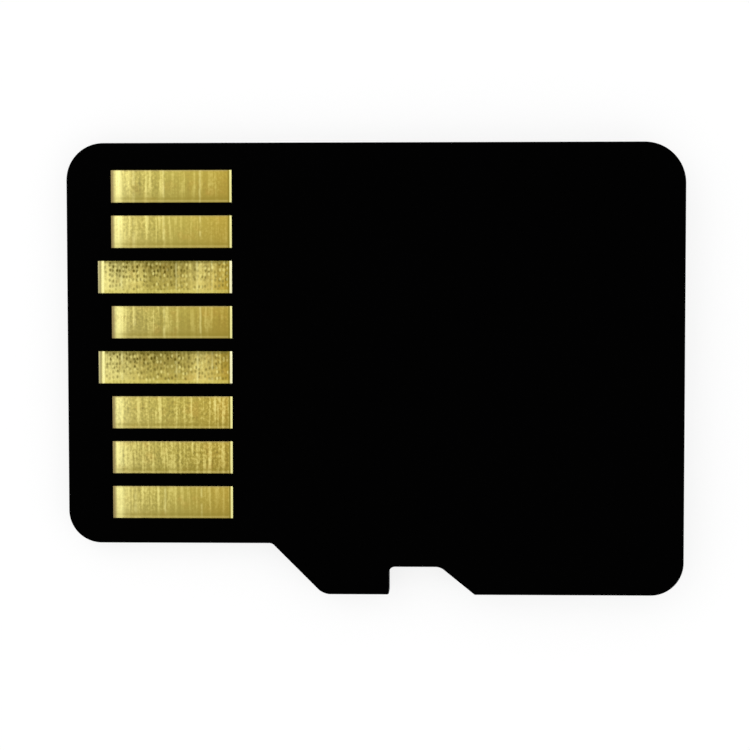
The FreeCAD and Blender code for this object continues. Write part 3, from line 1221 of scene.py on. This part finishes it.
@dataclass
class Outline:
    """The card's outline in plan: its box from the frame, and its shoulder and latch notch."""

    low: Vector
    high: Vector
    shoulder_end: float = 6.23
    shoulder_step: float = 1.25
    notch_land: float = 1.61
    notch_depth: float = 0.68
    notch_floor: float = 1.25
    notch_angle: float = math.radians(39)
    plain_front_radius: float = 0.9
    plain_back_radius: float = 1.0
    notched_radius: float = 0.8
    shoulder_radius: float = 0.4
    shoulder_root_radius: float = 0.15
    notch_root_radius: float = 0.14
    notch_ramp_radius: float = 0.3
    notch_mouth_radius: float = 0.05
    facet_length: float = 0.05
    least_facets: int = 6

    def corners(self) -> list[Corner]:
        """Works out the outline's corners, from the plain back one round by the insertion end.

        Returns:
            The corners in order.
        """
        front, notched, back, plain = self.low.x, self.low.y, self.high.x, self.high.y
        step = notched + self.shoulder_step
        shoulder = front + self.shoulder_end
        wall = shoulder + self.notch_land
        top = notched + self.notch_depth
        ramp = wall + self.notch_floor
        ramp_end = ramp + self.notch_depth / math.tan(self.notch_angle)
        return [
            Corner(back, plain, self.plain_back_radius),
            Corner(front, plain, self.plain_front_radius),
            Corner(front, step, self.notched_radius),
            Corner(shoulder - self.shoulder_step, step, self.shoulder_root_radius),
            Corner(shoulder, notched, self.shoulder_radius),
            Corner(wall, notched, self.notch_mouth_radius),
            Corner(wall, top, self.notch_root_radius),
            Corner(ramp, top, self.notch_ramp_radius),
            Corner(ramp_end, notched, self.notch_mouth_radius),
            Corner(back, notched, self.notched_radius),
        ]

    def plate(self, name: str, low: float, high: float) -> bpy.types.Object:
        """Models the outline as a plate with rounded corners.

        Args:
            name: The new object's name.
            low: The height of its underside.
            high: The height of its upper side.

        Returns:
            The plate.
        """
        corners = self.corners()
        piece = draw_polygon(name, [(corner.x, corner.y) for corner in corners], low)
        with editing(piece):
            for index, corner in enumerate(corners):
                self.round_corner(piece, corner, corners[index - 1], corners[(index + 1) % len(corners)])
        thicken(piece, high - low)
        return piece

    def round_corner(
        self, piece: bpy.types.Object, corner: Corner, before: Corner, after: Corner
    ) -> None:
        """Rounds one corner of the flat outline.

        Args:
            piece: The outline, in edit mode.
            corner: The corner to round.
            before: The corner before it.
            after: The corner after it.
        """
        place = corner.place()
        angle = (before.place() - place).angle(after.place() - place)
        facets = math.ceil(corner.radius * (math.pi - angle) / self.facet_length)
        pick(piece, Part.VERTEX, lambda vertex: (vertex.co.xy - place).length < NEAR)
        bpy.ops.mesh.bevel(
            offset=corner.radius / math.tan(angle / 2),
            offset_type="ABSOLUTE",
            segments=max(facets, self.least_facets),
            affect="VERTICES",
        )


@dataclass
class Moulding:
    """The moulding compound: label side, finger lip and bevelled insertion end."""

    outline: Outline
    low: float
    top: float
    finish: GrainFinish = MATT_MOULDING
    label_face: float = 0.3
    lip_length: float = 1.5
    lip_arc_radius: float = 30.0
    lip_draft: float = math.radians(25)
    bevel_length: float = 0.52
    bevel_height: float = 0.3
    edge_radius: float = 0.08
    edge_segments: int = 5
    lip_segments: int = 48
    overshoot: float = 1.0

    def lip_centre(self) -> float:
        """The middle of the lip wall's arc, along the card."""
        return self.outline.high.x - self.lip_length - self.lip_arc_radius

    def build(self) -> bpy.types.Object:
        """Models the moulding.

        Returns:
            The moulding, in millimetres.
        """
        piece = self.outline.plate("card_moulding", self.low, self.top)
        with editing(piece):
            bpy.ops.mesh.select_all(action="SELECT")
            bpy.ops.mesh.bisect(
                plane_co=(self.outline.low.x, 0.0, self.label_face + self.bevel_height),
                plane_no=(-self.bevel_height, 0.0, -self.bevel_length),
                use_fill=True,
                clear_outer=True,
            )
        carve(piece, self.relief())
        round_edges(
            piece,
            lambda edge: is_sharp(edge) and heights(edge)[1] < self.top - NEAR,
            self.edge_radius,
            self.edge_segments,
        )
        with editing(piece):
            bpy.ops.mesh.select_all(action="SELECT")
            bpy.ops.mesh.dissolve_degenerate(threshold=NEAR)
        return piece

    def relief(self) -> bpy.types.Object:
        """Models the room under the label face, up to the lip's drafted, curved wall.

        Returns:
            The solid that is cut away.
        """
        far = self.outline.low.x - self.overshoot
        reach = self.outline.high.y + self.overshoot
        turn = math.asin(reach / self.lip_arc_radius)
        lean = self.label_face * math.tan(self.lip_draft)
        arc = []
        for index in range(self.lip_segments + 1):
            angle = turn * (2 * index / self.lip_segments - 1)
            x = self.lip_centre() + self.lip_arc_radius * math.cos(angle) + lean
            arc.append((x, self.lip_arc_radius * math.sin(angle)))
        piece = draw_polygon("lip_relief", [*arc, (far, reach), (far, -reach)], -self.label_face)
        thicken(piece, 2 * self.label_face)
        roof = self.label_face - NEAR
        with editing(piece):
            pick(piece, Part.VERTEX, lambda vertex: vertex.co.z > roof and vertex.co.x > far + NEAR)
            bpy.ops.transform.translate(value=(-2 * lean, 0.0, 0.0))
        return piece

    def resting_line(self) -> tuple[float, float]:
        """Finds how the card lies: on the ends of its lip's crest and the edge of its label face.

        Returns:
            Where the crest meets the floor along the card, and the angle between floor and card.
        """
        half_width = self.outline.high.y
        crest = self.lip_centre() + math.sqrt(self.lip_arc_radius**2 - half_width**2)
        front = self.outline.low.x + self.bevel_length
        return crest, math.atan2(self.label_face - self.low, crest - front)

    def dress(self, effects: Effects) -> None:
        """Builds the moulding with its finish.

        Args:
            effects: The shared groups.
        """
        complete(self.build(), self.finish.material(effects), "moulded_body")


@dataclass
class ContactRow:
    """The contacts, which lie where the frame has them.

    The rim steps are shares of the rim's width and drop, from the outside inwards.
    """

    count: int = 8
    supply: tuple[int, ...] = (4, 6)
    brushed: tuple[int, ...] = (2, 3)
    rim_width: float = 0.06
    rim_drop: float = 0.015
    rim_steps: tuple[tuple[float, float], ...] = ((0.15, 0.4), (0.25, 0.35), (0.6, 0.25))
    corner_radius: float = 0.015
    corner_segments: int = 3

    def kind(self, number: int) -> ContactKind:
        """Tells one contact's kind.

        Args:
            number: The contact's number, counted from the notched side.

        Returns:
            Its kind.
        """
        if number in self.supply:
            return ContactKind.SUPPLY
        return ContactKind.BRUSHED if number in self.brushed else ContactKind.SIGNAL

    def numbers(self, *kinds: ContactKind) -> list[int]:
        """Lists the contacts of some kinds.

        Args:
            *kinds: The kinds that are wanted.

        Returns:
            Their numbers, counted from the notched side.
        """
        return [number for number in range(1, self.count + 1) if self.kind(number) in kinds]

    def block(self, name: str, number: int, rise: float) -> bpy.types.Object:
        """Models a contact's space as a block.

        Args:
            name: The new object's name.
            number: The contact's number.
            rise: How much higher than the contact the block is.

        Returns:
            The block.
        """
        low, high = frame_box(f"contact_{number}")
        high.z += rise
        bpy.ops.object.select_all(action="DESELECT")
        bpy.ops.mesh.primitive_cube_add(size=1.0, location=(low + high) / 2, scale=high - low)
        piece = bpy.context.active_object
        piece.name = name
        bpy.ops.object.transform_apply(location=True, rotation=True, scale=True)
        return piece

    def contact(self, number: int) -> bpy.types.Object:
        """Models one contact: a plate with a rolled rim.

        Args:
            number: The contact's number.

        Returns:
            The contact, in millimetres.
        """
        piece = self.block(f"card_contact_{number}", number, -self.rim_drop)
        shoulder = frame_box(f"contact_{number}")[1].z - self.rim_drop
        with editing(piece):
            pick(piece, Part.FACE, lambda face: face.calc_center_median().z > shoulder - NEAR)
            for width, rise in self.rim_steps:
                bpy.ops.mesh.inset(thickness=self.rim_width * width, depth=self.rim_drop * rise)
            pick(
                piece,
                Part.EDGE,
                lambda edge: heights(edge)[0] < shoulder - NEAR < heights(edge)[1],
            )
            bpy.ops.mesh.bevel(
                offset=self.corner_radius, segments=self.corner_segments, affect="EDGES"
            )
        return piece

    def opening(self, number: int, start: float, flare: float) -> bpy.types.Object:
        """Models the room that one contact takes in the board, which widens towards its mouth.

        Args:
            number: The contact's number.
            start: The height from which it widens.
            flare: How far it rises, and widens on each side, from there.

        Returns:
            The room as a block.
        """
        low, high = frame_box(f"contact_{number}")
        piece = self.block(f"opening_{number}", number, start - high.z)
        with editing(piece):
            pick(piece, Part.FACE, lambda face: face.calc_center_median().z > start - NEAR)
            extrude((0.0, 0.0, flare))
            widths = [1.0 + 2 * flare / (high[axis] - low[axis]) for axis in (0, 1)]
            bpy.ops.transform.resize(value=(*widths, 1.0))
        return piece

    def openings(self, start: float, flare: float) -> bpy.types.Object:
        """Models the room that all the contacts take in the board.

        Args:
            start: The height from which each opening widens.
            flare: How far it rises, and widens on each side, from there.

        Returns:
            One object that holds a block for each contact.
        """
        blocks = [self.opening(number, start, flare) for number in range(1, self.count + 1)]
        select_only(blocks[0])
        for block in blocks:
            block.select_set(True)
        bpy.ops.object.join()
        return bpy.context.active_object

    def finish(self, kind: ContactKind) -> GoldFinish:
        """Chooses the plating of one kind of contact.

        Args:
            kind: The contact's kind.

        Returns:
            Its finish.
        """
        low, high = frame_box(f"contact_{self.numbers(kind)[0]}")
        first, second = (frame_box(f"contact_{number}")[0].y for number in (1, 2))
        made = {
            ContactKind.SIGNAL: GoldFinish,
            ContactKind.BRUSHED: BrushedGoldFinish,
            ContactKind.SUPPLY: SupplyGoldFinish,
        }[kind]
        row = {"first_side": first, "pitch": second - first, "width": high.y - low.y}
        return made(f"{kind.value}_contact_gold", low.x, high.x, **row)

    def dress(self, effects: Effects) -> None:
        """Builds each length of contact once, copies it along the row and gives all their finish.

        Args:
            effects: The shared groups.
        """
        materials = {kind: self.finish(kind).material(effects) for kind in ContactKind}
        short = self.numbers(ContactKind.SIGNAL, ContactKind.BRUSHED)
        for first, *others in (short, self.numbers(ContactKind.SUPPLY)):
            pieces = {first: self.contact(first)}
            start = frame_box(f"contact_{first}")[0]
            for number in others:
                offset = frame_box(f"contact_{number}")[0] - start
                pieces[number] = duplicate(pieces[first], f"card_contact_{number}", offset)
            for number, piece in pieces.items():
                complete(piece, materials[self.kind(number)], f"contact_{number}")


@dataclass
class Board:
    """The laminate, with openings in its mask for the contacts."""

    outline: Outline
    contacts: ContactRow
    low: float
    top: float
    finish: GrainFinish = BLACK_MASK
    rim_radius: float = 0.03
    rim_segments: int = 3
    mask_edge: float = 0.006
    overshoot: float = 0.02

    def is_top_edge(self, edge: bmesh.types.BMEdge) -> bool:
        """Says whether an edge is a sharp one on the board's upper side.

        Args:
            edge: An edge of the board.

        Returns:
            True if it is.
        """
        return is_sharp(edge) and heights(edge)[0] > self.top - NEAR

    def build(self) -> bpy.types.Object:
        """Models the board.

        Returns:
            The board, in millimetres.
        """
        piece = self.outline.plate("card_board", self.low, self.top)
        round_edges(piece, self.is_top_edge, self.rim_radius, self.rim_segments)
        carve(piece, self.contacts.openings(self.top - self.mask_edge, self.mask_edge + self.overshoot))
        return piece

    def dress(self, effects: Effects) -> None:
        """Builds the board with its finish.

        Args:
            effects: The shared groups.
        """
        complete(self.build(), self.finish.material(effects), "circuit_board")


@dataclass
class InnerPieces:
    """The chips, capacitors and wires inside the moulding, which keep their CAD shapes."""

    nodes: dict[str, bpy.types.Object]
    silicon: GrainFinish = GROUND_SILICON
    capacitor_cap: float = 0.15

    def dress(self, effects: Effects) -> None:
        """Gives each inner node its finish.

        Args:
            effects: The shared groups.
        """
        low, high = frame_box("capacitor_1")
        bare = (high.x - low.x) / 2 - self.capacitor_cap
        ceramic = CapacitorFinish("capacitor_ends", (low.x + high.x) / 2, bare)
        finishes = {"_die": self.silicon, "capacitor_": ceramic, "_wires": WireFinish("bond_wire")}
        for mark, finish in finishes.items():
            material = finish.material(effects)
            for name, node in self.nodes.items():
                if mark in name:
                    node.data.materials.clear()
                    node.data.materials.append(material)
                    LOG.info("%s: CAD shape with %s", name, material.name)


@dataclass
class Studio:
    """The floor, the light and the camera, in millimetres and degrees.

    A radiance of 1 is as bright as the white background.
    """

    moulding: Moulding
    floor_size: float = 1200.0
    floor_shade: float = 0.24
    floor_glow: float = 0.79
    ambient: float = 0.8
    key_place: Place = (-70.0, 60.0, 120.0)
    fill_place: Place = (90.0, -50.0, 90.0)
    lamp_size: float = 110.0
    key_radiance: float = 0.8
    fill_radiance: float = 0.35
    camera_place: Place = (1.801, 2.525, 51.5)
    camera_turn: Place = (-3.009, 2.0364, -0.0495)
    lens: float = 100.0
    sensor: float = 36.0
    nearest: float = 1.0
    farthest: float = 10000.0

    def build(self) -> None:
        """Sets the stage."""
        scene = bpy.context.scene
        scene.view_settings.view_transform = "Standard"
        self.lay_floor()
        self.light_world(scene)
        self.hang_lamp("key", self.key_place, self.key_radiance)
        self.hang_lamp("fill", self.fill_place, self.fill_radiance)
        self.set_camera(scene)

    @staticmethod
    def seen(tree: NodeTree) -> bpy.types.NodeSocket:
        """Tells rays from the camera, or from a mirror-like or clear surface, from others.

        Args:
            tree: The tree that needs it.

        Returns:
            1 for such a ray and 0 for any other.
        """
        path = tree.add("LightPath").outputs
        mirrored = tree.math("MAXIMUM", path["Is Glossy Ray"], path["Is Transmission Ray"])
        return tree.math("MAXIMUM", path["Is Camera Ray"], mirrored)

    def lay_floor(self) -> None:
        """Lays a white floor that the card touches with its lip and its insertion end."""
        place, lean = self.moulding.resting_line()
        bpy.ops.object.select_all(action="DESELECT")
        bpy.ops.mesh.primitive_plane_add(
            size=self.floor_size * MM,
            location=(place * MM, 0.0, self.moulding.low * MM),
            rotation=(0.0, lean, 0.0),
        )
        floor = bpy.context.active_object
        floor.name = "studio_floor"
        material = bpy.data.materials.new("studio_white")
        material.use_nodes = True
        material.node_tree.nodes.clear()
        tree = NodeTree(material.node_tree)
        matt = tree.add("BsdfDiffuse", (self.floor_shade,) * 3)
        level = tree.math("MULTIPLY", self.seen(tree), self.floor_glow)
        glow = tree.add("Emission", None, level)
        both = tree.add("AddShader", matt.outputs[0], glow.outputs[0])
        tree.add("OutputMaterial", both.outputs[0])
        floor.data.materials.append(material)

    def light_world(self, scene: bpy.types.Scene) -> None:
        """Lights the card evenly from all round, in front of plain white.

        Args:
            scene: The scene to light.
        """
        world = bpy.data.worlds.new("studio")
        world.use_nodes = True
        world.node_tree.nodes.clear()
        scene.world = world
        tree = NodeTree(world.node_tree)
        level = tree.math("MULTIPLY_ADD", self.seen(tree), 1.0 - self.ambient, self.ambient)
        sky = tree.add("Background", WHITE, level)
        tree.add("OutputWorld", sky.outputs[0])

    def hang_lamp(self, name: str, place: Place, radiance: float) -> None:
        """Hangs a soft square lamp that faces the card.

        Args:
            name: The lamp's name.
            place: Where it hangs, in millimetres.
            radiance: How bright its face is, where the white background is 1.
        """
        light = bpy.data.lights.new(name, "AREA")
        light.size = self.lamp_size * MM
        light.energy = radiance * math.pi * light.size**2
        lamp = bpy.data.objects.new(name, light)
        bpy.context.scene.collection.objects.link(lamp)
        lamp.location = Vector(place) * MM
        lamp.rotation_euler = Vector(place).to_track_quat("Z", "Y").to_euler()

    def set_camera(self, scene: bpy.types.Scene) -> None:
        """Sets the camera over the contact side.

        Args:
            scene: The scene that it films.
        """
        data = bpy.data.cameras.new("camera")
        data.lens = self.lens
        data.sensor_width = self.sensor
        data.clip_start = self.nearest * MM
        data.clip_end = self.farthest * MM
        camera = bpy.data.objects.new("camera", data)
        scene.collection.objects.link(camera)
        camera.location = Vector(self.camera_place) * MM
        camera.rotation_euler = [math.radians(angle) for angle in self.camera_turn]
        scene.camera = camera


def main() -> None:
    """Builds the card's looks."""
    logging.basicConfig(level=logging.INFO, format="%(name)s: %(message)s")
    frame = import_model()
    effects = Effects()
    board_low, board_high = frame_box("circuit_board")
    outline = Outline(board_low, board_high)
    contacts = ContactRow()
    moulding = Moulding(outline, frame_box("moulded_body")[0].z, board_low.z)
    moulding.dress(effects)
    Board(outline, contacts, board_low.z, board_high.z).dress(effects)
    contacts.dress(effects)
    InnerPieces(frame["nodes"]).dress(effects)
    Studio(moulding).build()


if __name__ == "__main__":
    main()
